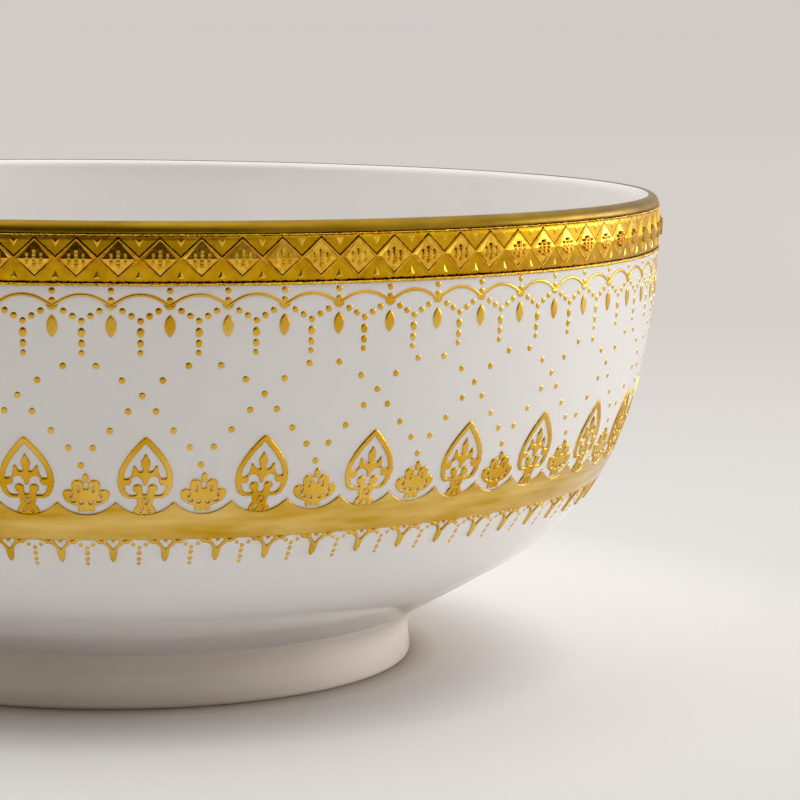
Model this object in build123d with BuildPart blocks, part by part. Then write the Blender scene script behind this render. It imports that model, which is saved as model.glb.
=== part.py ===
"""Porcelain serving bowl with fired-on raised-gold decoration.

Millimetres, +Z up, origin at the centre of the foot ring's seat. The front of the bowl faces -Y.
The two porcelain pieces are bodies of revolution. Each gold ornament is a thin deposit that
follows the outside of the wall, and it stands a hair clear of the glaze under it.
"""

from build123d import *
import os
from math import cos, pi, radians, sin, sqrt, tan

os.makedirs("parts", exist_ok=True)

# ---------------------------------------------------------------- driving dimensions (mm, degrees)

# porcelain body
rim_radius = 115.0            # outside of the upright band under the lip
bowl_height = 100.0           # seat to the top of the lip
wall = 3.8                    # wall thickness, also the lip's diameter
shoulder_height = 88.0        # the wall is upright above this height
belly_radius = 108.0          # profile arc below the shoulder
belly_turn = 22.0
base_radius = 50.0            # tighter profile arc towards the foot
base_turn = 38.0
base_height = 11.5            # underside of the well, where the foot ring is luted on
floor_height = 16.0           # inside of the well
floor_blend = 45.0            # profile radius between the well's floor and the wall

# foot ring
foot_cove = 6.0               # concave arc from the body into the upright foot
foot_seat_outer = 62.9
foot_seat_inner = 60.3
foot_inner_radius = 59.4      # inside face of the ring, at the seat
foot_inner_top = 57.8         # the same face, under the well
foot_edge = 1.0               # height of the rounded-off seat edges

# gold deposits
glaze_gap = 0.02              # clearance between a deposit and what is under it
ground_thickness = 0.22       # a deposit that lies on the glaze
relief_thickness = 0.25       # a second deposit that lies on the first

# how many times each printed border repeats, and how far its first repeat is turned from the front
diamond_count, diamond_turn = 98, -1.9
arch_count, arch_turn = 69, -3.3
palmette_count, palmette_turn = 32, 2.5
trellis_turn = 2.1
fringe_count, fringe_turn = 68, -8.5

# heights of the borders above the seat
lip_gilding_low = 98.0
top_cord_height, top_cord_radius = 97.75, 0.15
band_low, band_high = 89.5, 97.5
bottom_cord_height, bottom_cord_radius = 88.9, 0.28
belt_low, belt_peak, belt_trough = 41.3, 48.9, 46.4

# ---------------------------------------------------------------- the wall's outside as a formula

lip_radius = wall / 2
lip_height = bowl_height - lip_radius
belly_centre = (rim_radius - belly_radius, shoulder_height)
full_turn = belly_turn + base_turn
belly_low = (
    belly_centre[0] + belly_radius * cos(radians(belly_turn)),
    belly_centre[1] - belly_radius * sin(radians(belly_turn)),
)
base_centre = (
    belly_low[0] - base_radius * cos(radians(belly_turn)),
    belly_low[1] + base_radius * sin(radians(belly_turn)),
)


def profile_point(turn, offset):
    """Point of the profile where the outward normal has turned below the horizontal by `turn` degrees."""
    centre, radius = (belly_centre, belly_radius) if turn <= belly_turn else (base_centre, base_radius)
    reach = radius + offset
    return centre[0] + reach * cos(radians(turn)), centre[1] - reach * sin(radians(turn))


def cone_radius(height, offset):
    """Radius of the straight cone under the last arc, at one height."""
    r, z = profile_point(full_turn, offset)
    return r - (z - height) * tan(radians(full_turn))


def wall_radius(height):
    """Outside radius of the glazed wall at one height."""
    if height >= shoulder_height:
        return rim_radius
    centre, radius = (belly_centre, belly_radius) if height >= belly_low[1] else (base_centre, base_radius)
    return centre[0] + sqrt(radius**2 - (centre[1] - height) ** 2)


def wall_plane(turn, height):
    """Plane that touches the wall at a height, turned from the front about the axis, X to the right."""
    centre, radius = (belly_centre, belly_radius) if height >= belly_low[1] else (base_centre, base_radius)
    fall = max(0.0, (centre[1] - height) / radius)
    angle = radians(turn) - pi / 2
    outward = (cos(angle), sin(angle))
    r = wall_radius(height) + glaze_gap * 2
    level = sqrt(1 - fall**2)
    return Plane(
        origin=(r * outward[0], r * outward[1], height),
        x_dir=(-outward[1], outward[0], 0),
        z_dir=(level * outward[0], level * outward[1], -fall),
    )


def outer_line(low, offset):
    """Add the wall's outside to the line being built, from a height on the cone up to the lip."""
    start = (cone_radius(low, offset), low)
    base_end = profile_point(full_turn, offset)
    belly_end = profile_point(belly_turn, offset)
    shoulder = (rim_radius + offset, shoulder_height)
    Line(start, base_end)
    ThreePointArc(base_end, profile_point(belly_turn + base_turn / 2, offset), belly_end)
    ThreePointArc(belly_end, profile_point(belly_turn / 2, offset), shoulder)
    Line(shoulder, (rim_radius + offset, lip_height))
    return start


def wall_skin(low, inner_offset, outer_offset):
    """Thin revolved layer over the whole outside of the wall, which each deposit is cut from."""
    with BuildPart() as layer:
        with BuildSketch(Plane.XZ):
            with BuildLine():
                inner_start = outer_line(low, inner_offset)
                outer_start = outer_line(low, outer_offset)
                Line(inner_start, outer_start)
                Line((rim_radius + inner_offset, lip_height), (rim_radius + outer_offset, lip_height))
            make_face()
        revolve(axis=Axis.Z)
    return layer.part


# ---------------------------------------------------------------- porcelain

with BuildPart() as bowl_wall:
    with BuildSketch(Plane.XZ) as wall_section:
        with BuildLine():
            outer_foot = outer_line(base_height, 0)
            inner_rim = (rim_radius - wall, lip_height)
            ThreePointArc((rim_radius, lip_height), (rim_radius - lip_radius, bowl_height), inner_rim)
            inner_start = outer_line(floor_height, -wall)
            Polyline(inner_start, (0, floor_height), (0, base_height), outer_foot)
        make_face()
        floor_corner = wall_section.vertices().sort_by_distance(inner_start)[0]
        fillet(floor_corner, floor_blend)
    revolve(axis=Axis.Z)

with BuildPart() as foot_ring:
    with BuildSketch(Plane.XZ):
        with BuildLine():
            cove_start = (cone_radius(base_height, 0), base_height)
            cove_centre = (
                cove_start[0] + foot_cove * cos(radians(full_turn)),
                cove_start[1] - foot_cove * sin(radians(full_turn)),
            )
            cove_end = (cove_centre[0] - foot_cove, cove_centre[1])
            cove_middle = (
                cove_centre[0] - foot_cove * cos(radians(full_turn / 2)),
                cove_centre[1] + foot_cove * sin(radians(full_turn / 2)),
            )
            ThreePointArc(cove_start, cove_middle, cove_end)
            Polyline(
                cove_end,
                (foot_seat_outer + foot_edge / 2, foot_edge),
                (foot_seat_outer, 0),
                (foot_seat_inner, 0),
                (foot_inner_radius, foot_edge),
                (foot_inner_top, base_height),
                cove_start,
            )
        make_face()
    revolve(axis=Axis.Z)

# ---------------------------------------------------------------- gold borders under the lip

skin_low = 22.0               # every deposit is above this height, where the cone begins
ground_top = glaze_gap + ground_thickness
relief_base = ground_top + glaze_gap
ground_skin = wall_skin(skin_low, glaze_gap, ground_top)
relief_skin = wall_skin(skin_low, relief_base, relief_base + relief_thickness)
outside = 2 * rim_radius      # a radius well clear of the bowl

lip_wrap = 5.0                # how far over the top, past the middle, the lip's gold reaches
lip_facets = 8                # flat strips that the gold's curve is laid in
lip_centre = (rim_radius - lip_radius, lip_height)


def around_lip(radius):
    """Corners of the strips that touch a circle round the lip, from its lower edge to past the top."""
    facet = (90 + lip_wrap) / lip_facets
    corner_radius = radius / cos(radians(facet / 2))
    turns = [facet * (k + 0.5) for k in range(lip_facets)]
    polar = [(radius, 0)] + [(corner_radius, turn) for turn in turns] + [(radius, 90 + lip_wrap)]
    curve = [(lip_centre[0] + r * cos(radians(t)), lip_centre[1] + r * sin(radians(t))) for r, t in polar]
    return [(lip_centre[0] + radius, lip_gilding_low)] + curve


with BuildPart() as lip_gilding:
    with BuildSketch(Plane.XZ):
        near, far = lip_radius + glaze_gap, lip_radius + glaze_gap + ground_thickness
        with BuildLine():
            Polyline(*around_lip(near), *reversed(around_lip(far)), close=True)
        make_face()
    revolve(axis=Axis.Z)


def cord(height, radius):
    """Round gold cord that runs round the upright band."""
    with BuildPart() as ring:
        with BuildSketch(Plane.XZ):
            with Locations((rim_radius + glaze_gap + radius, height)):
                Circle(radius)
        revolve(axis=Axis.Z)
    return ring


band_top_cord = cord(top_cord_height, top_cord_radius)
band_bottom_cord = cord(bottom_cord_height, bottom_cord_radius)

with BuildPart() as band_ground:
    add(ground_skin)
    with Locations((0, 0, (band_low + band_high) / 2)):
        Cylinder(outside, band_high - band_low, mode=Mode.INTERSECT)

# ---------------------------------------------------------------- building motifs

bead_cap = 30                 # latitude at which each bead's sphere is cut flat


def motif(profile, skin):
    """Deposit at the front of the bowl: a drawn face, in X and height, pushed out through a skin."""
    with BuildPart() as deposit:
        with BuildSketch(Plane.XZ):
            add(profile)
        extrude(amount=outside)
        add(skin, mode=Mode.INTERSECT)
    return deposit.part


def border(deposit, count, turn):
    """One motif repeated all the way round, its first copy turned from the front."""
    with BuildPart() as ring:
        with PolarLocations(0, count, start_angle=turn):
            add(deposit, clean=False)
    return ring


def beads(spots, radius):
    """Domed gold beads on the wall at (turn, height) spots."""
    with BuildPart() as domes:
        with Locations(*[wall_plane(turn, height) for turn, height in spots]):
            Sphere(radius, arc_size1=bead_cap, align=(Align.CENTER, Align.CENTER, Align.MIN))
    return domes


def repeat(pattern, count, first_turn):
    """Spots of one repeat, given in repeats and heights, copied all the way round."""
    pitch = 360 / count
    return [(first_turn + (k + shift) * pitch, height) for k in range(count) for shift, height in pattern]


def upright(right_side):
    """Straight-sided face from its right half, given from the top of its axis down to the foot."""
    left_side = [(-x, height) for x, height in reversed(right_side) if x > 0]
    with BuildSketch() as face:
        with BuildLine():
            Polyline(*right_side, *left_side, close=True)
        make_face()
    return face.sketch


# ---------------------------------------------------------------- relief on the diamond band

diamond_pitch = 2 * pi * rim_radius / diamond_count
diamond_middle = (band_low + band_high) / 2
diamond_half_height = 3.4
ridge_width = 0.6
seam = 0.02                   # gap left between neighbouring repeats of one line
half_cell = diamond_pitch / 2 - seam

with BuildSketch() as cross:
    with BuildLine():
        Line((-half_cell, -diamond_half_height), (half_cell, diamond_half_height))
    trace(line_width=ridge_width)
    mirror(about=Plane.YZ)
    Rectangle(2 * half_cell, 2 * diamond_half_height + ridge_width, mode=Mode.INTERSECT)

tall_bar, short_bar = (0.8, 3.0), (0.7, 1.9)
bar_spacing = 1.25

with BuildSketch() as bars:
    Rectangle(*tall_bar)
    with Locations((-bar_spacing, 0), (bar_spacing, 0)):
        Rectangle(*short_bar)

point_width, point_tall = 1.5, 1.4
point_reach = 3.6             # from the middle of the band to the flat end of a point

with BuildSketch() as points:
    add(upright([(0, point_reach), (point_width / 2, point_reach), (0, point_reach - point_tall)]))
    mirror(about=Plane.XZ)

band_centre = Location((0, diamond_middle, 0))
band_lattice = border(motif(band_centre * cross.sketch, relief_skin), diamond_count, diamond_turn)
band_points = border(motif(band_centre * points.sketch, relief_skin), diamond_count, diamond_turn)
bars_turn = diamond_turn + 180 / diamond_count
band_bars = border(motif(band_centre * bars.sketch, relief_skin), diamond_count, bars_turn)

# ---------------------------------------------------------------- arches and what hangs from them

arch_pitch = 2 * pi * wall_radius(86) / arch_count
arch_crown, arch_cusp = 87.1, 85.3
arch_line_width = 0.45
saddle_width, saddle_height, saddle_middle = 2.3, 0.76, 84.68
arch_half = arch_pitch / 2 - seam

with BuildSketch() as arch:
    with BuildLine():
        ThreePointArc((-arch_half, arch_cusp), (0, arch_crown), (arch_half, arch_cusp))
    trace(line_width=arch_line_width)
    Rectangle(2 * arch_half, 3 * arch_crown, mode=Mode.INTERSECT)

with BuildSketch(Plane((0, saddle_middle, 0))) as saddle:
    Ellipse(saddle_width / 2, saddle_height / 2)

cusp_turn = arch_turn + 180 / arch_count
arch_line = border(motif(arch.sketch, ground_skin), arch_count, arch_turn)
arch_saddles = border(motif(saddle.sketch, ground_skin), arch_count, cusp_turn)

bead_radius = 0.7             # sphere radius of the common bead
stud_radius = 0.6
small_bead_radius = 0.5
arch_studs = beads(repeat([(0, 87.8), (0, 86.3)], arch_count, cusp_turn), stud_radius)

swag = [(-0.305, 84.2), (-0.153, 83.3), (0, 82.4), (0.153, 83.3), (0.305, 84.2)]
swag_beads = beads(repeat(swag, arch_count, arch_turn), bead_radius)
string_beads = beads(repeat([(0, 80.4), (0, 78.4), (0, 76.75)], arch_count, arch_turn), bead_radius)

drop_middle, drop_half_width, drop_half_height = 81.55, 1.0, 2.1

with BuildSketch() as drop:
    with BuildLine():
        top, bottom = (0, drop_middle + drop_half_height), (0, drop_middle - drop_half_height)
        ThreePointArc(top, (drop_half_width, drop_middle), bottom)
        ThreePointArc(bottom, (-drop_half_width, drop_middle), top)
    make_face()

marquise_drops = border(motif(drop.sketch, ground_skin), arch_count, cusp_turn)

# ---------------------------------------------------------------- open trellis of beads

trellis = [
    (0.369, 74.3), (0.631, 74.3),
    (-0.163, 71.65), (0.163, 71.65),
    (0, 68.85),
    (-0.113, 65.95), (0.113, 65.95),
    (-0.26, 62.35), (0.26, 62.35),
    (0.4, 59.15), (0.6, 59.15),
    (0.5, 55.8),
]
trellis_beads = beads(repeat(trellis, palmette_count, trellis_turn), bead_radius)

# ---------------------------------------------------------------- palmettes and shells

palmette_tip, palmette_widest, lobe_low = 61.4, 53.3, 49.5
palmette_half_width = 4.95
palmette_stroke = 1.0
stem_half_width = 1.4
side_ball_radius, side_ball_middle = 0.77, (3.35, 52.75)
scroll_radius, scroll_middle = 0.88, (1.35, 51.4)

with BuildSketch() as spade:
    with BuildLine():
        widest = (palmette_half_width, palmette_widest)
        lobe_end = (stem_half_width, lobe_low)
        ThreePointArc((0, palmette_tip), (2.95, 58.2), widest)
        ThreePointArc(widest, (4.1, 50.6), lobe_end)
        Polyline(lobe_end, (0, lobe_low), (0, palmette_tip))
    make_face()
    mirror(about=Plane.YZ)

leaf = upright([(0, 58.2), (0.85, 56.4), (0.5, 54.5), (0, 54.5)])
crown = upright([
    (0, 54.85), (1.3, 54.85), (1.8, 55.85), (2.3, 55.85), (2.45, 54.2), (3.1, 53.2),
    (2.2, 53.4), (1.3, 53.7), (0.45, 52.9), (0, 51.9),
])
stem = upright([(0, 50.9), (1.45, 50.9), (1.45, 48.7), (1.15, 48.3), (2.0, 47.3), (1.7, 46.9), (0, 46.6)])

with BuildSketch() as palmette:
    add(spade.sketch)
    offset(spade.sketch, amount=-palmette_stroke, mode=Mode.SUBTRACT)
    add(leaf)
    add(crown)
    add(stem)
    for x, height, radius in ((*side_ball_middle, side_ball_radius), (*scroll_middle, scroll_radius)):
        with Locations((-x, height), (x, height)):
            Circle(radius)

palmettes = border(motif(palmette.sketch, ground_skin), palmette_count, palmette_turn)

bud_width, bud_tall, bud_middle = 1.1, 2.2, 53.1
upper_lobe_radius, upper_lobe_x, upper_lobe_middle = 1.15, 1.55, 52.0
side_lobe_radius, side_lobe_x, side_lobe_middle = 1.1, 3.1, 50.3
hull_width, hull_tall, hull_middle = 7.0, 4.4, 49.9
foot_ball_radius, foot_ball_spacing, foot_ball_middle = 0.42, 1.35, 47.2

with BuildSketch() as shell:
    with Locations((0, bud_middle)):
        Ellipse(bud_width / 2, bud_tall / 2)
    with Locations((-upper_lobe_x, upper_lobe_middle), (upper_lobe_x, upper_lobe_middle)):
        Circle(upper_lobe_radius)
    with Locations((-side_lobe_x, side_lobe_middle), (side_lobe_x, side_lobe_middle)):
        Circle(side_lobe_radius)
    with Locations((0, hull_middle)):
        Ellipse(hull_width / 2, hull_tall / 2)
    with Locations([(k * foot_ball_spacing, foot_ball_middle) for k in (-1, 0, 1)]):
        Circle(foot_ball_radius)

shell_turn = palmette_turn + 180 / palmette_count
shell_motifs = border(motif(shell.sketch, ground_skin), palmette_count, shell_turn)

# ---------------------------------------------------------------- scalloped belt

scallop_count = 2 * palmette_count
scallop_half = pi * wall_radius(belt_peak) / scallop_count
scallop_depth = belt_peak - belt_trough
scallop_radius = (scallop_half**2 + scallop_depth**2) / (2 * scallop_depth)

scallop_start = 90.0          # the cutter begins inside the wall, clear of its neighbours
scallop_reach = 40.0

with BuildPart() as scallop:
    with BuildSketch(Plane.XZ.offset(scallop_start)):
        with Locations((0, belt_trough + scallop_radius)):
            Circle(scallop_radius)
        with Locations((0, belt_trough)):
            Rectangle(2 * scallop_radius, 2 * scallop_depth, mode=Mode.INTERSECT)
    extrude(amount=scallop_reach)

with BuildPart() as scalloped_belt:
    add(ground_skin)
    with Locations((0, 0, (belt_low + belt_peak) / 2)):
        Cylinder(outside, belt_peak - belt_low, mode=Mode.INTERSECT)
    with PolarLocations(0, scallop_count, start_angle=palmette_turn):
        add(scallop.part, mode=Mode.SUBTRACT, clean=False)

# ---------------------------------------------------------------- fringe under the belt

fringe_top = belt_low - 2 * seam
pendant_half_width = 2.85
spandrel = upright([
    (0, fringe_top), (pendant_half_width, fringe_top), (pendant_half_width, 40.45), (1.9, 40.4),
    (0.85, 39.4), (0.7, 38.9), (0.58, 37.4), (0, 36.66),
])
shield = upright([(0, 41.0), (0.95, 40.9), (1.1, 40.6), (0, 39.3)])

with BuildSketch() as pendant:
    add(spandrel)
    add(shield, mode=Mode.SUBTRACT)

fringe_pendants = border(motif(pendant.sketch, ground_skin), fringe_count, fringe_turn + 180 / fringe_count)

fringe = [(-0.115, 40.2), (0.115, 40.2), (0, 39.6), (0, 38.35), (0, 37.1), (0, 36.1)]
fringe_beads = beads(repeat(fringe, fringe_count, fringe_turn), small_bead_radius)

# ---------------------------------------------------------------- write every piece

pieces = {
    "bowl_wall": bowl_wall,
    "foot_ring": foot_ring,
    "lip_gilding": lip_gilding,
    "band_top_cord": band_top_cord,
    "band_ground": band_ground,
    "band_lattice": band_lattice,
    "band_bars": band_bars,
    "band_points": band_points,
    "band_bottom_cord": band_bottom_cord,
    "arch_line": arch_line,
    "arch_saddles": arch_saddles,
    "arch_studs": arch_studs,
    "swag_beads": swag_beads,
    "string_beads": string_beads,
    "marquise_drops": marquise_drops,
    "trellis_beads": trellis_beads,
    "palmettes": palmettes,
    "shell_motifs": shell_motifs,
    "scalloped_belt": scalloped_belt,
    "fringe_pendants": fringe_pendants,
    "fringe_beads": fringe_beads,
}
for name, piece in pieces.items():
    piece.part.label = name
    export_step(piece.part, f"parts/{name}.step", write_pcurves=False)
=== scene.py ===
"""Porcelain serving bowl with raised-gold borders: the looks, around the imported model.

Object data is in metres. The ornaments are drawn in millimetres, as (across, height, out): across
the front of the wall, height above the seat, and out from the glaze along the wall's normal.
"""

import math

import bpy
import numpy as np
from mathutils import Matrix, Vector


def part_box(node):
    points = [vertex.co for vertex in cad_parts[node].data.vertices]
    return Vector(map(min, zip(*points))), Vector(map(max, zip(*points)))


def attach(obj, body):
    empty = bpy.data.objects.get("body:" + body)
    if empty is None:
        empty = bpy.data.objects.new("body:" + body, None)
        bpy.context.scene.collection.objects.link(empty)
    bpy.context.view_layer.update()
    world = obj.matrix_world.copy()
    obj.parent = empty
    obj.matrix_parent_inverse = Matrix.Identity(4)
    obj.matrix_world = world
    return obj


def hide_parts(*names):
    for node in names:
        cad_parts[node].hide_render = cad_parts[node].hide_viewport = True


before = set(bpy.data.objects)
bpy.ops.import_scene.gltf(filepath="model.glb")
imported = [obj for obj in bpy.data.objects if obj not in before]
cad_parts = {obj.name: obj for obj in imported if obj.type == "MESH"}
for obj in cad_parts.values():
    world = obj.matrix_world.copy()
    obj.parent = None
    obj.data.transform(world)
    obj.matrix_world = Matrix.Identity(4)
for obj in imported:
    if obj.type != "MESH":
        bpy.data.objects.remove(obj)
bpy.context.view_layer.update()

MM = 0.001
rng = np.random.default_rng(32)

# ---------------------------------------------------------------- sizes (mm), as in the CAD

RIM_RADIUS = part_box("bowl_wall")[1][0] / MM
BOWL_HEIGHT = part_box("bowl_wall")[1][2] / MM
BASE_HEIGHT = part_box("bowl_wall")[0][2] / MM
WALL = 3.8
SHOULDER_HEIGHT = 88.0
BELLY_RADIUS, BELLY_TURN = 108.0, math.radians(22)
BASE_RADIUS, BASE_TURN = 50.0, math.radians(38)
FLOOR_HEIGHT = 16.0
FLOOR_BLEND = 45.0
FULL_TURN = BELLY_TURN + BASE_TURN

LIP_RADIUS = WALL / 2
LIP_HEIGHT = BOWL_HEIGHT - LIP_RADIUS
BELLY_CENTRE = np.array([RIM_RADIUS - BELLY_RADIUS, SHOULDER_HEIGHT])
BELLY_LOW = BELLY_CENTRE + BELLY_RADIUS * np.array([math.cos(BELLY_TURN), -math.sin(BELLY_TURN)])
BASE_CENTRE = BELLY_LOW - BASE_RADIUS * np.array([math.cos(BELLY_TURN), -math.sin(BELLY_TURN)])
BASE_LOW = BASE_CENTRE + BASE_RADIUS * np.array([math.cos(FULL_TURN), -math.sin(FULL_TURN)])

# how many times each border repeats, and how far its first repeat is turned from the front
DIAMONDS, DIAMOND_TURN = 98, math.radians(-1.9)
ARCHES, ARCH_TURN = 69, math.radians(-3.3)
PALMETTES, PALMETTE_TURN, TRELLIS_TURN = 32, math.radians(2.5), math.radians(2.1)
FRINGES, FRINGE_TURN = 68, math.radians(-8.5)

BAND_LOW, BAND_HIGH = 89.55, 97.45
JUNCTION_HEIGHT = 93.5
RIDGE_ARM = 3.4          # height of a ridge's end above or below its junction
RIDGE_SHADE = 0.54       # how far above a ridge the ground has painted shade
GROOVE_EDGE = 4.02       # the grooves, and the painted shade in them, begin this far above and below the junctions
DIAMOND_PITCH = math.tau * RIM_RADIUS / DIAMONDS
ARCH_PITCH = math.tau * RIM_RADIUS / ARCHES
SUNK = 0.04              # how deep a deposit's underside lies in the glaze
BELT_LOW, BELT_PEAK, BELT_TROUGH = 41.3, 48.9, 46.4

# ---------------------------------------------------------------- the wall as a formula


def wall_at(height):
    """Outside radius of the wall at some heights, and the sine of how far its normal falls there."""
    height = np.asarray(height, float)
    belly_rise = np.clip(BELLY_CENTRE[1] - height, 0, BELLY_RADIUS * math.sin(BELLY_TURN))
    base_rise = np.clip(BASE_CENTRE[1] - height, 0, BASE_RADIUS * math.sin(FULL_TURN))
    belly = BELLY_CENTRE[0] + np.sqrt(BELLY_RADIUS**2 - belly_rise**2)
    base = BASE_CENTRE[0] + np.sqrt(BASE_RADIUS**2 - base_rise**2)
    cone = BASE_LOW[0] - (BASE_LOW[1] - height) * math.tan(FULL_TURN)
    on_belly = height >= BELLY_LOW[1]
    on_base = height >= BASE_LOW[1]
    radius = np.where(on_belly, belly, np.where(on_base, base, cone))
    base_fall = np.where(on_base, base_rise / BASE_RADIUS, math.sin(FULL_TURN))
    fall = np.where(on_belly, belly_rise / BELLY_RADIUS, base_fall)
    return radius, fall


def on_wall(points, turn):
    """Places (across, height, out) points, in mm, on the wall, turned from the front; gives metres."""
    radius, fall = wall_at(points[:, 1])
    reach = radius + points[:, 2] * np.sqrt(1 - fall**2)
    height = points[:, 1] - points[:, 2] * fall
    angle = turn + np.arcsin(np.clip(points[:, 0] / radius, -1, 1))
    return np.stack([reach * np.sin(angle), -reach * np.cos(angle), height], axis=1) * MM


def turns_of(count, first, shift=0.0):
    """Turns of every repeat of a border."""
    return [first + (k + shift) * math.tau / count for k in range(count)]


# ---------------------------------------------------------------- meshes


def make_piece(name, points, triangles, material, node, slot, smooth=True):
    """Adds a mesh piece from metre points and triangles, which stands for a CAD node."""
    mesh = bpy.data.meshes.new(name)
    mesh.vertices.add(len(points))
    mesh.vertices.foreach_set("co", np.asarray(points, np.float32).ravel())
    mesh.loops.add(3 * len(triangles))
    mesh.loops.foreach_set("vertex_index", np.asarray(triangles, np.int32).ravel())
    mesh.polygons.add(len(triangles))
    mesh.polygons.foreach_set("loop_start", np.arange(0, 3 * len(triangles), 3, dtype=np.int32))
    mesh.polygons.foreach_set("use_smooth", np.full(len(triangles), smooth))
    mesh.update(calc_edges=True)
    mesh.validate()
    mesh.materials.append(material)
    piece = bpy.data.objects.new(name, mesh)
    bpy.context.scene.collection.objects.link(piece)
    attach(piece, "root")
    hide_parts(node)


def place_all(motifs):
    """Joins (motif, turn) pairs into one set of metre points and triangles."""
    points, triangles, count = [], [], 0
    for (motif_points, motif_triangles), turn in motifs:
        points.append(on_wall(motif_points, turn))
        triangles.append(motif_triangles + count)
        count += len(motif_points)
    return np.concatenate(points), np.concatenate(triangles)


def border(name, motif, turns, material, smooth=True):
    """One gold deposit repeated round the bowl, which stands for the CAD node of the same name."""
    points, triangles = place_all([(motif, turn) for turn in turns])
    make_piece("gold_" + name, points, triangles, material, name, "raised_gold", smooth)


def strip(rows, columns, closed_rows=False, closed_columns=True):
    """Triangles of a grid of points numbered row by row."""
    row = np.arange(rows if closed_rows else rows - 1)
    column = np.arange(columns if closed_columns else columns - 1)
    r, c = (a.ravel() for a in np.meshgrid(row, column, indexing="ij"))
    r_next, c_next = (r + 1) % rows, (c + 1) % columns
    a, b = r * columns + c, r * columns + c_next
    d, e = r_next * columns + c, r_next * columns + c_next
    return np.concatenate([np.stack([a, b, e], 1), np.stack([a, e, d], 1)])


def lathe(outline, segments):
    """Closed body of revolution from an outline of (radius, height) points in mm, given anticlockwise."""
    angle = np.arange(segments) * math.tau / segments
    radius, height = (np.asarray(v)[:, None] for v in zip(*outline))
    around = np.ones(segments)
    points = np.stack([radius * np.sin(angle), -radius * np.cos(angle), height * around], axis=2)
    points, number = np.unique(np.round(points.reshape(-1, 3), 6), axis=0, return_inverse=True)
    triangles = number.reshape(-1)[strip(len(outline), segments, closed_rows=True)]
    a, b, c = triangles.T
    return points * MM, triangles[(a != b) & (b != c) & (c != a)]


def hoop(height, half_width, tall, columns, rough=0.0):
    """Closed raised line all the way round. The height is a number or a function of the turn."""
    turn = np.arange(columns) * math.tau / columns
    middle = height(turn) if callable(height) else np.full(columns, float(height))
    radius = wall_at(middle)[0]
    slope = (np.roll(middle, -1) - np.roll(middle, 1)) / (2 * radius * math.tau / columns)
    length = np.hypot(1, slope)
    section = ((-1, 0), (-0.86, 0.5), (-0.45, 0.9), (0, 1), (0.45, 0.9), (0.86, 0.5), (1, 0))
    rows = []
    for side, lift in section:
        reach = side * half_width * (1 + rough * rng.normal(0, 0.5, columns))
        out = np.full(columns, -SUNK)
        if lift:
            out = lift * tall * (1 + rough * rng.normal(0, 0.5, columns))
        rows.append(np.stack([-reach * slope / length, middle + reach / length, out], axis=1))
    points = on_wall(np.concatenate(rows), np.tile(turn, len(rows)))
    return points, strip(len(rows), columns, closed_rows=True)


# ---------------------------------------------------------------- drawn shapes as signed distances
# Each function of (x, z) is positive inside its shape and counts mm to the shape's edge.


def disc(x, z, cx, cz, radius):
    """Circle."""
    return radius - np.hypot(x - cx, z - cz)


def oval(x, z, cx, cz, a, b, tilt=0.0):
    """Ellipse with half-axes a and b, turned anticlockwise by tilt degrees."""
    c, s = math.cos(math.radians(tilt)), math.sin(math.radians(tilt))
    u, v = (x - cx) * c + (z - cz) * s, (z - cz) * c - (x - cx) * s
    return (1 - np.hypot(u / a, v / b)) * min(a, b)


def lens(x, z, cz, half_width, half_height):
    """Upright shape between two equal arcs that meet in a point above and below."""
    radius = (half_height**2 + half_width**2) / (2 * half_width)
    away = radius - half_width
    return np.minimum(disc(x, z, -away, cz, radius), disc(x, z, away, cz, radius))


def line(x, z, ends, half_width):
    """Straight stroke with round ends, which may taper from the first end to the second."""
    (ax, az), (bx, bz) = ends
    wide_a, wide_b = half_width if isinstance(half_width, tuple) else (half_width, half_width)
    dx, dz = bx - ax, bz - az
    t = np.clip(((x - ax) * dx + (z - az) * dz) / (dx * dx + dz * dz), 0, 1)
    return wide_a + (wide_b - wide_a) * t - np.hypot(x - ax - t * dx, z - az - t * dz)


def polygon(x, z, corners):
    """Signed distance to a closed outline."""
    distance = np.full(np.shape(x), np.inf)
    inside = np.zeros(np.shape(x), bool)
    for (ax, az), (bx, bz) in zip(corners, corners[1:] + corners[:1]):
        dx, dz = bx - ax, bz - az
        t = np.clip(((x - ax) * dx + (z - az) * dz) / (dx * dx + dz * dz), 0, 1)
        distance = np.minimum(distance, np.hypot(x - ax - t * dx, z - az - t * dz))
        if az != bz:
            crosses = ((az > z) != (bz > z)) & (x < ax + (z - az) * dx / dz)
            inside ^= crosses
    return np.where(inside, distance, -distance)


def bezier(start, first, second, end, steps=12):
    """Points along a cubic curve, without its start."""
    t = np.linspace(0, 1, steps + 1)[1:, None]
    a, b, c, d = (np.array(p, float) for p in (start, first, second, end))
    curve = (1 - t) ** 3 * a + 3 * (1 - t) ** 2 * t * b + 3 * (1 - t) * t**2 * c + t**3 * d
    return [tuple(p) for p in curve]


def mirrored(right_side):
    """Closed outline from its right half, given from the top of the axis down to its foot."""
    return right_side + [(-x, z) for x, z in reversed(right_side) if x != 0]


# ---------------------------------------------------------------- raised deposits


def close_below(points, triangles):
    """Adds an underside and sides to an open relief, so that it is one closed solid."""
    count = len(points)
    under = points.copy()
    under[:, 2] = -SUNK
    edges = np.concatenate([triangles[:, [0, 1]], triangles[:, [1, 2]], triangles[:, [2, 0]]])
    key = np.sort(edges, axis=1)
    _, index, uses = np.unique(key, axis=0, return_index=True, return_counts=True)
    rim = edges[index[uses == 1]]
    a, b = rim[:, 0], rim[:, 1]
    sides = np.concatenate([np.stack([b, a, a + count], 1), np.stack([b, a + count, b + count], 1)])
    underside = triangles[:, ::-1] + count
    return np.concatenate([points, under]), np.concatenate([triangles, underside, sides])


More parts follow.
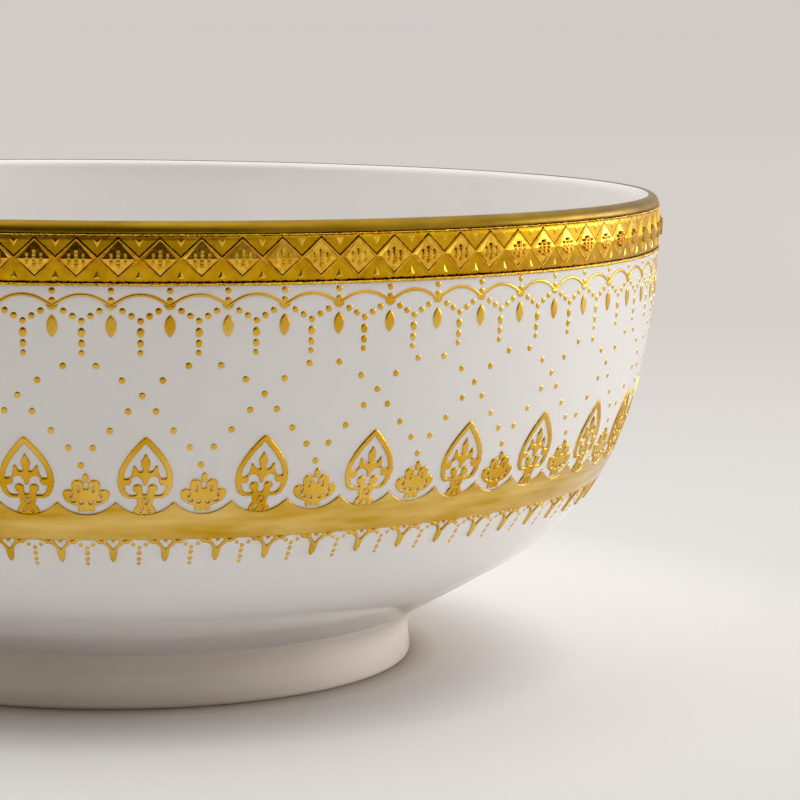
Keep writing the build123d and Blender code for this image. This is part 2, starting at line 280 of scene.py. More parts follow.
def relief(shape, low, high, cell, tall, shoulder):
    """Closed pillow-shaped deposit over the inside of a drawn shape, rounded within `shoulder` of its edge.

    The shape is looked at on a grid of square cells from corner `low` to corner `high`, and each
    triangle of the grid is cut where it crosses the shape's edge.
    """
    snap = 0.2                                   # an edge this close to a grid point, in cells, moves to it
    wobble, phase = 0.06, 1.3                    # how uneven the top is
    across_waves, up_waves = 5.1, 4.3            # radians for each mm
    columns = int(math.ceil((high[0] - low[0]) / cell)) + 1
    rows = int(math.ceil((high[1] - low[1]) / cell)) + 1
    across = low[0] + np.arange(columns) * cell
    up = low[1] + np.arange(rows) * cell
    x, z = np.meshgrid(across, up, indexing="ij")
    depth = shape(x, z)
    depth[np.abs(depth) < snap * cell] = 0.0
    points, found, triangles = [], {}, []

    def corner(i, j):
        """Number of the grid's own point, which is added when it is first asked for."""
        if (i, j) not in found:
            found[i, j] = len(points)
            points.append((x[i, j], z[i, j], depth[i, j]))
        return found[i, j]

    def crossing(p, q):
        """Number of the point where the edge crosses the line between two grid points."""
        key = (min(p, q), max(p, q))
        if key not in found:
            t = depth[p] / (depth[p] - depth[q])
            found[key] = len(points)
            points.append((x[p] + t * (x[q] - x[p]), z[p] + t * (z[q] - z[p]), 0.0))
        return found[key]

    for i in range(columns - 1):
        for j in range(rows - 1):
            square = ((i, j), (i + 1, j), (i + 1, j + 1), (i, j + 1))
            if max(depth[c] for c in square) <= 0:
                continue
            for three in ((square[0], square[1], square[2]), (square[0], square[2], square[3])):
                if max(depth[c] for c in three) <= 0:
                    continue
                outline = []
                for here, there in zip(three, three[1:] + three[:1]):
                    if depth[here] >= 0:
                        outline.append(corner(*here))
                    if depth[here] * depth[there] < 0:
                        outline.append(crossing(here, there))
                for k in range(1, len(outline) - 1):
                    triangles.append((outline[0], outline[k], outline[k + 1]))
    points, triangles = np.array(points), np.array(triangles)
    inward = np.clip(points[:, 2] / shoulder, 0, 1)
    unevenness = 1 + wobble * np.sin(across_waves * points[:, 0] + phase) * np.sin(up_waves * points[:, 1])
    points[:, 2] = tall * np.sqrt(1 - (1 - inward) ** 2) * unevenness
    return close_below(points, triangles)


def dome(half_width, half_height, tall):
    """Closed low bead centred on (0, 0), flat in the middle and sloping more and more towards its edge."""
    around = 18
    shares = (1.0, 0.97, 0.88, 0.74, 0.5)
    angle = np.arange(around) * math.tau / around
    rings = []
    for share in shares:
        across, up = half_width * share * np.cos(angle), half_height * share * np.sin(angle)
        rings.append(np.stack([across, up, np.full(around, tall * (1 - share**4))], axis=1))
    points = np.concatenate(rings + [[[0, 0, tall]]])
    top = np.full(around, len(points) - 1)
    last = top[0] - around + np.arange(around)
    cap = np.stack([last, np.roll(last, -1), top], 1)
    return close_below(points, np.concatenate([strip(len(rings), around), cap]))


def moved(motif, across, height):
    """Copy of a motif, moved along the wall."""
    points, triangles = motif
    return points + np.array([across, height, 0.0]), triangles


def joined(*motifs):
    """Several motifs as one."""
    points, triangles, count = [], [], 0
    for motif_points, motif_triangles in motifs:
        points.append(motif_points)
        triangles.append(motif_triangles + count)
        count += len(motif_points)
    return np.concatenate(points), np.concatenate(triangles)


def block(across, height, width, length, low, tall, bevel):
    """Closed upright block with bevelled edges, centred on a spot and rising from `low` to `tall`."""
    corners = ((-1, -1), (1, -1), (1, 1), (-1, 1))
    points = []
    for cut, out in ((0, low), (bevel * 0.4, tall * 0.8), (bevel, tall)):
        for side, end in corners:
            points.append((across + side * (width / 2 - cut), height + end * (length / 2 - cut), out))
    top = np.array([[8, 9, 10], [8, 10, 11]])
    return close_below(np.array(points), np.concatenate([strip(3, 4), top]))


def spike(corners, apex):
    """Closed low pyramid on a triangular foot."""
    points = np.array([*corners, apex], float)
    return close_below(points, np.array([[0, 1, 3], [1, 2, 3], [2, 0, 3]]))


# ---------------------------------------------------------------- materials

USUAL_NOISE = (0.3, 0.7)     # most of a noise's values lie between these


def colour_ramp(tree, value, stops):
    """Colour of a value, from (position, colour) stops."""
    made = tree.nodes.new("ShaderNodeValToRGB")
    elements = made.color_ramp.elements
    while len(elements) < len(stops):
        elements.new(0.5)
    for element, (position, colour) in zip(elements, stops):
        element.position = position
        element.color = (*colour, 1)
    tree.links.new(value, made.inputs["Fac"])
    return made.outputs["Color"]


def colour_mix(tree, blend):
    """Node that mixes two colours: its factor, its two colours and its result."""
    made = tree.nodes.new("ShaderNodeMix")
    made.data_type = "RGBA"
    made.blend_type = blend
    first, second = (socket for socket in made.inputs if socket.type == "RGBA")
    result = next(socket for socket in made.outputs if socket.type == "RGBA")
    return made.inputs["Factor"], first, second, result


class Shader:
    """A material being built from nodes."""

    def __init__(self, name):
        self.material = bpy.data.materials.new(name)
        self.material.use_nodes = True
        self.tree = self.material.node_tree
        self.surface = self.tree.nodes["Principled BSDF"]
        self.place = self.node("ShaderNodeTexCoord").outputs["Object"]

    def node(self, kind, **settings):
        """New node with some of its settings."""
        made = self.tree.nodes.new(kind)
        for key, value in settings.items():
            setattr(made, key, value)
        return made

    def link(self, source, target):
        """Joins an output to an input."""
        self.tree.links.new(source, target)

    def math(self, operation, *values):
        """Result of a sum on values that are numbers or outputs of other nodes."""
        made = self.node("ShaderNodeMath", operation=operation)
        for socket, value in zip(made.inputs, values):
            if isinstance(value, (int, float)):
                socket.default_value = value
            else:
                self.link(value, socket)
        return made.outputs["Value"]

    def noise(self, size_mm, stretch=(1, 1, 1), detail=3.0, roughness=0.5):
        """Noise whose features are about size_mm across, stretched along the bowl's axes."""
        spread = self.node("ShaderNodeMapping")
        spread.inputs["Scale"].default_value = [s / (size_mm * MM) for s in stretch]
        self.link(self.place, spread.inputs["Vector"])
        noise = self.node("ShaderNodeTexNoise")
        noise.inputs["Scale"].default_value = 1.0
        noise.inputs["Detail"].default_value = detail
        noise.inputs["Roughness"].default_value = roughness
        self.link(spread.outputs["Vector"], noise.inputs["Vector"])
        return noise.outputs["Fac"]

    def ramp(self, value, stops):
        """Colour of a value, from (position, colour) stops."""
        return colour_ramp(self.tree, value, stops)

    def spread(self, value, low, high):
        """Maps the usual values of a noise onto a range."""
        span = self.node("ShaderNodeMapRange")
        span.inputs["From Min"].default_value = USUAL_NOISE[0]
        span.inputs["From Max"].default_value = USUAL_NOISE[1]
        span.inputs["To Min"].default_value = low
        span.inputs["To Max"].default_value = high
        self.link(value, span.inputs["Value"])
        return span.outputs["Result"]

    def bump(self, height, depth_mm, under=None):
        """Normal of a surface that is depth_mm deep, laid over another normal if one is given."""
        bump = self.node("ShaderNodeBump")
        bump.inputs["Strength"].default_value = 1.0
        bump.inputs["Distance"].default_value = depth_mm * MM
        self.link(height, bump.inputs["Height"])
        if under is not None:
            self.link(under, bump.inputs["Normal"])
        return bump.outputs["Normal"]


def porcelain(name, pale, deep, gloss):
    """Warm white porcelain under a glaze, with faint clouding and an orange-peel ripple."""
    cloud_mm, gloss_mm = 38, 9
    peel_mm, peel_depth = 3.5, 0.006
    swell_mm, swell_depth = 16, 0.02
    shader = Shader(name)
    inputs = shader.surface.inputs
    clouds = shader.ramp(shader.noise(cloud_mm, detail=2), [(0.35, deep), (0.65, pale)])
    shader.link(clouds, inputs["Base Color"])
    shader.link(shader.spread(shader.noise(gloss_mm, detail=4), *gloss), inputs["Roughness"])
    peel = shader.bump(shader.noise(peel_mm, detail=2), peel_depth)
    shader.link(shader.bump(shader.noise(swell_mm, detail=1), swell_depth, peel), inputs["Normal"])
    inputs["IOR"].default_value = 1.52
    inputs["Subsurface Weight"].default_value = 0.12
    inputs["Subsurface Radius"].default_value = (1.0, 0.8, 0.6)
    inputs["Subsurface Scale"].default_value = 0.002
    return shader.material


def gold(name, pale, deep, gloss, patch_mm, grain_depth, grain_mm=0.25, streak=1.0):
    """Fired-on gold: metal whose colour and gloss drift in patches, over a fine grain.

    The streak makes the patches that many times longer round the bowl than they are tall.
    """
    ripple_mm, ripple_depth = 2.2, 0.01
    shader = Shader(name)
    inputs = shader.surface.inputs
    stretch = (1, 1, streak)
    patches = shader.noise(patch_mm, stretch)
    shader.link(shader.ramp(patches, [(USUAL_NOISE[0], deep), (USUAL_NOISE[1], pale)]), inputs["Base Color"])
    shader.link(shader.spread(shader.noise(patch_mm * 0.6, stretch, detail=4), *gloss), inputs["Roughness"])
    inputs["Metallic"].default_value = 1.0
    wave = shader.bump(shader.noise(ripple_mm, stretch, detail=2), ripple_depth)
    grain = shader.noise(grain_mm, detail=2, roughness=0.7)
    shader.link(shader.bump(grain, grain_depth, wave), inputs["Normal"])
    return shader


def paint_band_shade(shader):
    """Paints shade into the colour of the rim band's ground: in its two grooves and along the upper side of
    every ridge.
    """
    painted_shade_colour = (0.02, 0.010, 0.003, 1)
    wander = 1.2 * MM        # how far the edges of the painted groove shade stray
    ridge_wander = 0.4       # share of that beside the ridges
    math_of = shader.math
    ragged = math_of("MULTIPLY_ADD", shader.noise(0.7, roughness=0.7), wander, -wander / 2)
    split = shader.node("ShaderNodeSeparateXYZ")
    shader.link(shader.place, split.inputs["Vector"])
    x, y, z = split.outputs
    rise = math_of("SUBTRACT", z, JUNCTION_HEIGHT * MM)
    away = math_of("ABSOLUTE", rise)
    in_groove = math_of("GREATER_THAN", math_of("ADD", away, ragged), GROOVE_EDGE * MM)

    turn = math_of("ARCTAN2", x, math_of("MULTIPLY", y, -1.0))
    repeat = math_of("MULTIPLY", math_of("SUBTRACT", turn, DIAMOND_TURN), DIAMONDS / math.tau)
    ridge_rise = math_of("MULTIPLY", math_of("PINGPONG", repeat, 0.5), 2 * RIDGE_ARM * MM)
    above_ridge = math_of("MULTIPLY", math_of("SUBTRACT", away, ridge_rise), math_of("SIGN", rise))
    uneven = math_of("MULTIPLY_ADD", ragged, ridge_wander, above_ridge)
    beside_ridge = math_of("COMPARE", uneven, RIDGE_SHADE / 2 * MM, RIDGE_SHADE / 2 * MM)

    # near-black painted shade mixed into the gold's colour in the grooves and above the ridges
    factor, plain, dark, mixed = colour_mix(shader.tree, "MIX")
    colour = shader.surface.inputs["Base Color"]
    shader.link(colour.links[0].from_socket, plain)
    dark.default_value = painted_shade_colour
    shader.link(math_of("MAXIMUM", in_groove, beside_ridge), factor)
    shader.link(mixed, colour)


def band_ground_gold():
    """Matt gold with painted shade in the grooves and above the ridges of the rim band."""
    shader = gold(
        "matt_gold", pale=(0.72, 0.40, 0.008), deep=(0.50, 0.26, 0.002), gloss=(0.30, 0.42),
        patch_mm=3, grain_depth=0.010, grain_mm=0.18,
    )
    paint_band_shade(shader)
    return shader.material


glaze = porcelain("glaze", pale=(0.91, 0.895, 0.88), deep=(0.88, 0.865, 0.85), gloss=(0.07, 0.13))
# the foot's glaze is a darker, browner copy of the glaze: painted shade for the foot, which sits in the
# bowl's shadow
foot_glaze_with_painted_shade = porcelain("foot_glaze_with_painted_shade", pale=(0.86, 0.79, 0.72), deep=(0.82, 0.74, 0.66), gloss=(0.10, 0.22))
burnished = gold(
    "burnished_gold", pale=(0.80, 0.55, 0.16), deep=(0.60, 0.34, 0.012), gloss=(0.10, 0.24),
    patch_mm=14, grain_depth=0.002, streak=6,
).material
# the lip's gold is far darker than the other golds: painted shade, its dark colour standing in for the dark
# surroundings that the lip's roll reflects
lip_gold_with_painted_shade = gold(
    "lip_gold_with_painted_shade", pale=(0.31, 0.19, 0.011), deep=(0.20, 0.11, 0.003), gloss=(0.33, 0.45),
    patch_mm=9, grain_depth=0.003, streak=4,
).material
raised = gold(
    "raised_gold", pale=(0.88, 0.57, 0.10), deep=(0.66, 0.35, 0.005), gloss=(0.16, 0.32),
    patch_mm=14, grain_depth=0.007,
).material
bright = gold(
    "band_gold", pale=(0.92, 0.58, 0.07), deep=(0.64, 0.34, 0.008), gloss=(0.14, 0.30),
    patch_mm=1.2, grain_depth=0.008,
).material
matt = band_ground_gold()

# ---------------------------------------------------------------- porcelain


def profile_arc(centre, radius, start, end, steps):
    """(radius, height) points of the wall's profile between two turns of its normal, the first left out."""
    turns = np.linspace(start, end, steps + 1)[1:]
    return [(centre[0] + radius * math.cos(t), centre[1] - radius * math.sin(t)) for t in turns]


def cone_radius(height, offset):
    """Radius of the cone under the lower arc, moved out by an offset."""
    reach = BASE_RADIUS + offset
    end = BASE_CENTRE + reach * np.array([math.cos(FULL_TURN), -math.sin(FULL_TURN)])
    return end[0] - (end[1] - height) * math.tan(FULL_TURN)


def bowl_outline():
    """The bowl's section from the middle of its underside, round the lip, to the middle of its well."""
    steps, lip_steps, blend_steps = 26, 18, 11
    under_ring, well_ring = 30.0, 20.0
    outside = [(0.0, BASE_HEIGHT), (under_ring, BASE_HEIGHT), (cone_radius(BASE_HEIGHT, 0), BASE_HEIGHT)]
    outside += profile_arc(BASE_CENTRE, BASE_RADIUS, FULL_TURN, FULL_TURN, 1)
    outside += profile_arc(BASE_CENTRE, BASE_RADIUS, FULL_TURN, BELLY_TURN, steps)
    outside += profile_arc(BELLY_CENTRE, BELLY_RADIUS, BELLY_TURN, 0, steps)
    lip_centre = (RIM_RADIUS - LIP_RADIUS, LIP_HEIGHT)
    lip = [(RIM_RADIUS, LIP_HEIGHT)] + profile_arc(lip_centre, LIP_RADIUS, 0, -math.pi, lip_steps)
    inside = [(RIM_RADIUS - WALL, SHOULDER_HEIGHT)]
    inside += profile_arc(BELLY_CENTRE, BELLY_RADIUS - WALL, 0, BELLY_TURN, steps)
    inside += profile_arc(BASE_CENTRE, BASE_RADIUS - WALL, BELLY_TURN, FULL_TURN, steps)
    slope = math.pi / 2 - FULL_TURN
    corner = cone_radius(FLOOR_HEIGHT, -WALL)
    blend_reach = FLOOR_BLEND * math.tan(slope / 2)
    blend_centre = (corner - blend_reach, FLOOR_HEIGHT + FLOOR_BLEND)
    inside += [
        (blend_centre[0] + FLOOR_BLEND * math.sin(a), blend_centre[1] - FLOOR_BLEND * math.cos(a))
        for a in np.linspace(slope, 0, blend_steps + 1)
    ]
    return outside + lip + inside + [(well_ring, FLOOR_HEIGHT), (0.0, FLOOR_HEIGHT)]


def foot_outline():
    """Section of the foot ring, anticlockwise from the inside of its seat."""
    seat_inner, seat_outer, edge = 60.3, 62.9, 1.0
    ankle = (63.1, 3.5)
    recess_radius = 57.8
    cove, cove_steps = 6.0, 13
    top = cone_radius(BASE_HEIGHT, 0)
    centre = (top + cove * math.cos(FULL_TURN), BASE_HEIGHT - cove * math.sin(FULL_TURN))
    inner_edge = [(seat_inner - 0.9, edge), (seat_inner - 0.8, 0.5), (seat_inner - 0.5, 0.15)]
    outer_edge = [(seat_outer + 0.25, 0.12), (seat_outer + 0.42, 0.45), (seat_outer + 0.5, edge)]
    arc = np.linspace(math.pi, math.pi - FULL_TURN, cove_steps + 1)
    flank = [(centre[0] + cove * math.cos(a), centre[1] + cove * math.sin(a)) for a in arc]
    seat = [(seat_inner, 0), (seat_outer, 0)]
    return inner_edge + seat + outer_edge + [ankle] + flank + [(recess_radius, BASE_HEIGHT)]


def porcelain_piece(name, outline, material, slot):
    """Turned body of porcelain, which stands for the CAD node of the same name."""
    make_piece("porcelain_" + name, *lathe(outline, 360), material, name, slot)


porcelain_piece("bowl_wall", bowl_outline(), glaze, "glazed_porcelain")
porcelain_piece("foot_ring", foot_outline(), foot_glaze_with_painted_shade, "foot_porcelain")

# ---------------------------------------------------------------- rim band


def lip_gilding():
    """Smooth gold roll over the lip, whose lower edge is torn where it was burnished."""
    columns, arc_steps = 3000, 14
    thickness = 0.24
    low, toe, bevel = 98.0, 0.16, 0.08
    past_top, feather = math.radians(5), math.radians(30)
    turn = np.arange(columns) * math.tau / columns
    arc = np.linspace(0, math.pi / 2 + past_top, arc_steps + 1)
    outside = LIP_RADIUS + thickness * np.clip((arc[-1] - arc) / feather, 0, 1) ** 0.5
    underside = np.full(len(arc), LIP_RADIUS - SUNK)
    # each point is its radius, its height and how far its height is torn up or down
    section = [
        (RIM_RADIUS - SUNK, low, 0.0),
        (RIM_RADIUS + toe, low, 0.035),
        (RIM_RADIUS + thickness, low + bevel, 0.03),
    ]
    for reaches, turns in ((outside[1:-1], arc[1:-1]), (underside, arc[::-1])):
        section += [
            (RIM_RADIUS - LIP_RADIUS + reach * math.cos(t), LIP_HEIGHT + reach * math.sin(t), 0.0)
            for reach, t in zip(reaches, turns)
        ]
    rows = []
    for radius, height, torn in section:
        heights = height + torn * rng.normal(0, 1, columns)
        rows.append(np.stack([radius * np.sin(turn), -radius * np.cos(turn), heights], axis=1))
    triangles = strip(len(rows), columns, closed_rows=True)
    make_piece("gold_lip", np.concatenate(rows) * MM, triangles, lip_gold_with_painted_shade, "lip_gilding", "burnished_gold")


def band_ground():
    """Flat gold ground between the two cords, with a groove beside each cord."""
    thickness, groove, edge = 0.22, 0.05, 0.12
    sill, head = 88.9, 98.1
    rows = [(sill, -SUNK), (sill, groove), (BAND_LOW - edge, groove), (BAND_LOW, thickness)]
    rows += [(JUNCTION_HEIGHT, thickness), (BAND_HIGH - 0.8, thickness), (BAND_HIGH, thickness)]
    rows += [(BAND_HIGH + edge, groove), (head, groove), (head, -SUNK)]
    outline = []
    for height, out in rows:
        radius, fall = wall_at(height)
        outline.append((float(radius + out * math.sqrt(1 - fall**2)), float(height - out * fall)))
    make_piece("gold_band_ground", *lathe(outline, 720), matt, "band_ground", "matt_gold")


def ridge(start, end):
    """Closed straight ridge with a flat top between two (across, height) points."""
    half_width, foot, tall, pieces = 0.19, 0.2, 0.4, 4
    section = [(-half_width, foot), (-0.55 * half_width, tall), (0.55 * half_width, tall), (half_width, foot)]
    start, end = np.array(start), np.array(end)
    along = (end - start) / np.linalg.norm(end - start)
    beside = np.array([-along[1], along[0]])
    points = []
    for t in np.linspace(0, 1, pieces + 1):
        middle = start + t * (end - start)
        points += [(*(middle - beside * side), out) for side, out in section]
    return close_below(np.array(points), strip(pieces + 1, len(section), closed_columns=False))


def lattice():
    """Four ridges that cross at a junction."""
    arms = [(side, up) for side in (-1, 1) for up in (-1, 1)]
    ends = [(side * DIAMOND_PITCH / 2, JUNCTION_HEIGHT + RIDGE_ARM * up) for side, up in arms]
    return joined(*[ridge((0, JUNCTION_HEIGHT), end) for end in ends])


def panel(crest):
    """Diamond with a horizontal roof line, which fills the space between two junctions."""
    half, above, below, eaves = DIAMOND_PITCH / 2 - 0.08, 3.3, 2.95, 0.26
    crest_half = half * 0.8
    corners = [(-half, 0, eaves), (0, -below, eaves), (half, 0, eaves), (0, above, eaves)]
    roof_line = [(-crest_half, 0, crest), (crest_half, 0, crest)]
    faces = np.array([[0, 1, 4], [1, 5, 4], [1, 2, 5], [2, 3, 5], [3, 4, 5], [3, 0, 4]])
    return close_below(np.array(corners + roof_line) + (0, JUNCTION_HEIGHT, 0), faces)


def ladder(across, width, height, steps):
    """Upright bar made of short stacked blocks with flat bright fronts."""
    step = height / steps
    low = JUNCTION_HEIGHT - height / 2
    return [
        block(across, low + (k + 0.5) * step, width, step * 0.94, low=0.2, tall=1.12, bevel=0.07)
        for k in range(steps)
    ]


def bars():
    """Three upright bars in a diamond, the middle one taller."""
    side, width, height = 1.25, 0.62, 2.1
    middle = ladder(0, 0.74, 3.2, 5)
    return joined(*ladder(-side, width, height, 3), *middle, *ladder(side, width, height, 3))


def band_points():
    """Small pyramids that point into the corners above and below a junction."""
    half, foot = 0.75, 0.23
    upper = spike([(-half, 97.0, foot), (0, 95.5, foot), (half, 97.0, foot)], (0, 96.4, 0.41))
    lower = spike([(-half, 89.95, foot), (half, 89.95, foot), (0, 91.45, foot)], (0, 90.35, 0.38))
    return joined(upper, lower)


def band_lattice():
    """All the ridges and panels of the rim band as one piece, with panels of slightly different heights."""
    crests = rng.uniform(0.8, 1.15, DIAMONDS)
    panels = [(panel(crest), turn) for crest, turn in zip(crests, middles)]
    points, triangles = place_all([(lattice(), turn) for turn in junctions] + panels)
    make_piece("gold_band_lattice", points, triangles, bright, "band_lattice", "raised_gold", smooth=False)


def band_cord(name, height, half_width, tall, rough):
    """Uneven bright line along one edge of the rim band."""
    points, triangles = hoop(height, half_width, tall, 3600, rough)
    make_piece("gold_" + name, points, triangles, bright, name, "burnished_gold")


lip_gilding()
band_ground()
junctions = turns_of(DIAMONDS, DIAMOND_TURN)
middles = turns_of(DIAMONDS, DIAMOND_TURN, 0.5)
band_lattice()
border("band_bars", bars(), middles, bright, smooth=False)
border("band_points", band_points(), junctions, bright, smooth=False)
band_cord("band_top_cord", height=97.72, half_width=0.15, tall=0.36, rough=0.6)
band_cord("band_bottom_cord", height=88.9, half_width=0.3, tall=0.45, rough=0.35)

# ---------------------------------------------------------------- arches and hanging beads

BEAD = 0.62
ARCH_FOOT, ARCH_RISE = 84.93, 2.17       # where two arches would meet, and how far each rises above that


def arch_height(turn):
    """Height of the arch line at a turn: high in the middle of each repeat, with a cusp between repeats."""
    roundness, cusp_softness = 2.1, 0.03
    u = (turn - ARCH_TURN) * ARCHES / math.tau
    to_cusp = np.hypot(0.5 - np.abs(u - np.round(u)), cusp_softness)
    return ARCH_FOOT + ARCH_RISE * (1 - np.abs(1 - 2 * to_cusp) ** roundness)


def bead(size=BEAD):
    """Round bead, a fifth as tall as its radius."""
    return dome(size, size, size / 5)


def beads(spots):
    """Beads at (part of the repeat, height) spots of the arch border."""
    return joined(*[moved(bead(), u * ARCH_PITCH, height) for u, height in spots])


def saddle():
    """Crescent under a cusp of the arch line."""
    def crescent(x, z):
        return np.minimum.reduce([disc(x, z, 0, 85.5, 1.12), -disc(x, z, 0, 86.95, 1.75), 85.4 - z])
    return relief(crescent, low=(-1.3, 84.2), high=(1.3, 85.6), cell=0.1, tall=0.16, shoulder=0.2)


def marquise():
    """Pointed upright drop."""
    def drop(x, z):
        return lens(x, z, 81.55, 1.0, 2.1)
    return relief(drop, low=(-1.1, 79.3), high=(1.1, 83.8), cell=0.16, tall=0.22, shoulder=0.5)


def string():
    """Three beads hung under each other, each smaller than the one above."""
    sizes = [(80.35, 0.70, 0.90, 0.16), (78.35, 0.61, 0.74, 0.14), (76.65, 0.53, 0.57, 0.12)]
    return joined(*[moved(dome(*size), 0, height) for height, *size in sizes])


SWAG = [(-0.305, 84.2), (-0.153, 83.3), (0, 82.4), (0.153, 83.3), (0.305, 84.2)]
arch_middles = turns_of(ARCHES, ARCH_TURN)
cusps = turns_of(ARCHES, ARCH_TURN, 0.5)
arch_line = hoop(arch_height, half_width=0.31, tall=0.17, columns=ARCHES * 40, rough=0.06)
make_piece("gold_arch_line", *arch_line, raised, "arch_line", "raised_gold")
border("arch_saddles", saddle(), cusps, raised)
border("arch_studs", beads([(0, 87.8), (0, 86.1)]), cusps, raised)
border("swag_beads", beads(SWAG), arch_middles, raised)
border("string_beads", string(), arch_middles, raised)
border("marquise_drops", marquise(), cusps, raised)

# ---------------------------------------------------------------- trellis of beads

# (part of the repeat, height) spots of one repeat
TRELLIS = [
    (0.369, 74.3), (0.631, 74.3), (-0.163, 71.65), (0.163, 71.65), (0, 68.85), (-0.113, 65.95),
    (0.113, 65.95), (-0.26, 62.35), (0.26, 62.35), (0.4, 59.15), (0.6, 59.15), (0.5, 55.8),
]


def trellis():
    """Beads of one repeat of the trellis."""
    spots = []
    for u, height in TRELLIS:
        radius = float(wall_at(height)[0])
        spots.append(moved(bead(), radius * math.sin(u * math.tau / PALMETTES), height))
    return joined(*spots)


border("trellis_beads", trellis(), turns_of(PALMETTES, TRELLIS_TURN), raised)

# ---------------------------------------------------------------- palmettes and shells


def both(shape, x, z):
    """A shape and its mirror image."""
    return np.maximum(shape(x, z), shape(-x, z))


def palmette_shape(x, z):
    """Pointed ring round a three-leaved crown with scrolls, on a stem with a rosette."""
    ball = (3.25, 52.75)
    outer = mirrored(
        [(0, 61.4)] + bezier((0, 61.4), (1.2, 60.4), (4.98, 56.6), (4.98, 53.3))
        + bezier((4.98, 53.3), (4.98, 51.0), (4.2, 49.45), (2.55, 49.42)) + [(0, 49.42)]
    )
    inner = mirrored(
        [(0, 59.95)] + bezier((0, 59.95), (0.9, 58.8), (3.85, 55.9), (3.92, 53.5))
        + bezier((3.92, 53.5), (3.92, 51.6), (3.5, 50.25), (2.6, 50.22)) + [(0, 50.4)]
    )
    ring = np.minimum(polygon(x, z, outer), -polygon(x, z, inner))
    leaf = polygon(x, z, mirrored([
        (0, 58.25), (0.42, 57.3), (0.85, 56.6), (0.84, 56.1), (0.52, 55.0), (0.5, 54.0), (0, 54.0),
    ]))
    crown = polygon(x, z, mirrored([
        (0, 54.85), (1.1, 54.8), (1.45, 55.05), (1.82, 55.85), (2.25, 55.85), (2.33, 54.7), (2.5, 54.0),
        (2.9, 53.55), (2.5, 53.2), (2.2, 53.5), (1.6, 53.75), (0.95, 53.5), (0.5, 52.9), (0.3, 52.1),
        (0, 51.85),
    ]))
    side_ball = both(lambda x, z: disc(x, z, *ball, 0.77), x, z)
    bridge = both(lambda x, z: line(x, z, (ball, (4.3, 52.7)), 0.72), x, z)
    low_ball = both(lambda x, z: disc(x, z, 1.35, 51.4, 0.88), x, z)
    neck = both(lambda x, z: line(x, z, ((1.1, 51.2), (0.98, 50.0)), 0.56), x, z)
    stem = polygon(x, z, mirrored([
        (0, 50.3), (1.46, 49.9), (1.46, 48.7), (1.16, 48.3), (1.74, 47.8), (2.03, 47.1), (1.87, 46.5),
        (1.2, 46.35), (0, 46.35),
    ]))
    rosette = 0.09 - np.abs(np.hypot(x, z - 49.1) - 0.58)
    slit = both(lambda x, z: line(x, z, ((0.38, 47.75), (0.84, 46.8)), 0.13), x, z)
    solid = np.maximum.reduce([ring, leaf, crown, side_ball, bridge, low_ball, neck, stem])
    return np.minimum.reduce([solid, -rosette, -slit])


def shell_shape(x, z):
    """Four-lobed shell with a bud above, slits, a row of piercings and three feet."""
    bud = oval(x, z, 0, 53.38, 0.56, 1.01)
    upper = both(lambda x, z: oval(x, z, 1.5, 51.95, 1.1, 1.25, -12), x, z)
    side = both(lambda x, z: oval(x, z, 3.2, 50.35, 1.05, 0.95), x, z)
    boat = np.minimum(oval(x, z, 0, 50.0, 4.15, 2.2), 50.4 - z)
    heart = polygon(x, z, mirrored([
        (0, 51.4), (0.5, 51.5), (2.3, 51.45), (2.9, 50.6), (2.9, 49.5), (0, 49.5),
    ]))
    feet = [line(x, z, ((u, 47.3), (0.8 * u, 48.1)), 0.47) for u in (-1.05, 0, 1.05)]
    high_slit = both(lambda x, z: line(x, z, ((1.28, 51.75), (1.34, 51.0)), 0.14), x, z)
    side_slit = both(lambda x, z: line(x, z, ((2.5, 50.35), (2.75, 49.95)), 0.14), x, z)
    outer_hole = both(lambda x, z: oval(x, z, 2.3, 49.15, 0.5, 0.2, 12), x, z)
    inner_hole = both(lambda x, z: oval(x, z, 0.85, 48.8, 0.4, 0.24), x, z)
    solid = np.maximum.reduce([bud, upper, side, boat, heart, *feet])
    return np.minimum.reduce([solid, -high_slit, -side_slit, -outer_hole, -inner_hole])


palmette_turns = turns_of(PALMETTES, PALMETTE_TURN)
shell_turns = turns_of(PALMETTES, PALMETTE_TURN, 0.5)
palmette = relief(palmette_shape, low=(-5.1, 46.2), high=(5.1, 61.6), cell=0.27, tall=0.3, shoulder=0.2)
border("palmettes", palmette, palmette_turns, raised)
shell = relief(shell_shape, low=(-4.4, 46.5), high=(4.4, 54.5), cell=0.18, tall=0.3, shoulder=0.18)
border("shell_motifs", shell, shell_turns, raised)

# ---------------------------------------------------------------- belt and fringe

SCALLOPS = 2 * PALMETTES


def belt():
    """Burnished belt with a scalloped top edge and a line engraved under the scallops."""
    columns = SCALLOPS * 20
    thickness, groove = 0.3, 45.8
    over_groove = groove + 0.2
    turn = np.arange(columns) * math.tau / columns
    part = (turn - PALMETTE_TURN) * SCALLOPS / math.tau
    part = part - np.round(part)
    rise = BELT_PEAK - BELT_TROUGH
    half = math.pi * float(wall_at(BELT_PEAK)[0]) / SCALLOPS
    reach = (half**2 + rise**2) / (2 * rise)
    top = BELT_TROUGH + reach - np.sqrt(reach**2 - (2 * part * half) ** 2)
    edge = [(BELT_LOW, -SUNK), (BELT_LOW, thickness * 0.7), (BELT_LOW + 0.15, thickness)]
    body = [(height, thickness) for height in (42.5, 43.6, 44.7, groove - 0.2)]
    line_cut = [(groove, thickness * 0.85), (over_groove, thickness)]
    rows = [(np.full(columns, height), out) for height, out in edge + body + line_cut]
    for share, out in ((0.5, thickness), (0.92, thickness), (1.0, thickness * 0.6), (1.0, -SUNK)):
        rows.append((over_groove + share * (top - over_groove), out))
    across = np.zeros(columns)
    points = np.concatenate([np.stack([across, height, np.full(columns, out)], 1) for height, out in rows])
    return on_wall(points, np.tile(turn, len(rows))), strip(len(rows), columns, closed_rows=True)


FRINGE_PITCH = math.tau * float(wall_at(BELT_LOW)[0]) / FRINGES


